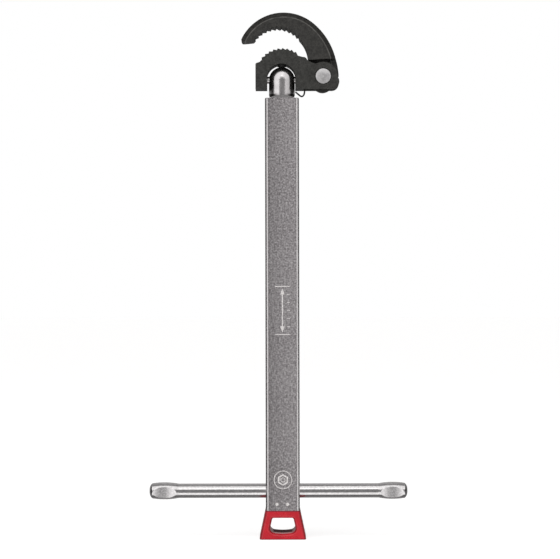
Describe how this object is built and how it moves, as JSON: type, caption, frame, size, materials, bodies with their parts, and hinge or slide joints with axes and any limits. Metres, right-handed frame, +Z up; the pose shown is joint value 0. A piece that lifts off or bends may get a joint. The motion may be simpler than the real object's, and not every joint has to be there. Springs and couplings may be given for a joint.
{
  "type": "basin wrench",
  "caption": "Basin wrench: square tube handle with sliding T-bar, telescoping shank, tilting head and sprung toothed hook jaw for tap back-nuts.",
  "frame": {"origin": "centre of the end cap's bottom face", "axes": "+Z up the shank from the cap to the head, +X towards the jaw rivet, -Y the front face of the head"},
  "size_m": [0.1452, 0.0204, 0.2951],
  "materials": {
    "tube_steel": "satin, fine grain",
    "red_plastic": "semi-gloss moulded",
    "pin_steel": "satin",
    "bar_chrome": "satin plated",
    "shank_chrome": "polished plated",
    "ball_steel": "polished",
    "spring_steel": "drawn wire",
    "head_phosphate": "matte phosphate",
    "plug_steel": "matte",
    "rivet_steel": "satin, turned",
    "jaw_phosphate": "matte phosphate",
    "black_wire": "black oxide"
  },
  "bodies": {
    "handle": {"outer_tube": "tube_steel", "end_cap": "red_plastic", "stop_pin": "pin_steel"},
    "bar": {"t_bar": "bar_chrome"},
    "shank": {"inner_shank": "shank_chrome", "lock_spring": "spring_steel"},
    "detent": {"lock_ball": "ball_steel"},
    "head": {"head_body": "head_phosphate", "head_pivot_pin": "pin_steel", "friction_plug": "plug_steel", "friction_spring": "spring_steel", "jaw_rivet": "rivet_steel", "jaw_spring": "black_wire"},
    "jaw": {"hook_jaw": "jaw_phosphate"}
  },
  "joints": [
    {"name": "extension_slide", "type": "slide", "parent": "handle", "child": "shank", "axis": [0, 0, 1], "range_m": [0, 0.1524]},
    {"name": "detent_press", "type": "slide", "parent": "shank", "child": "detent", "axis": [0, 1, 0], "range_m": [0, 0.00075], "stiffness_N_per_m": 60, "springref_m": 0.003, "deforming": ["lock_spring"]},
    {"name": "head_tilt", "type": "hinge", "parent": "shank", "child": "head", "pos_m": [0, 0, 0.2578], "axis": [1, 0, 0], "range_deg": [-90, 90]},
    {"name": "jaw_open", "type": "hinge", "parent": "head", "child": "jaw", "pos_m": [0.0232, 0, 0.2594], "axis": [0, 1, 0], "range_deg": [0, 60], "stiffness_Nm_per_rad": 0.12, "springref_deg": -68.75, "deforming": ["jaw_spring"]},
    {"name": "t_bar_slide", "type": "slide", "parent": "handle", "child": "bar", "axis": [1, 0, 0], "range_m": [-0.0442, 0.049]}
  ]
}
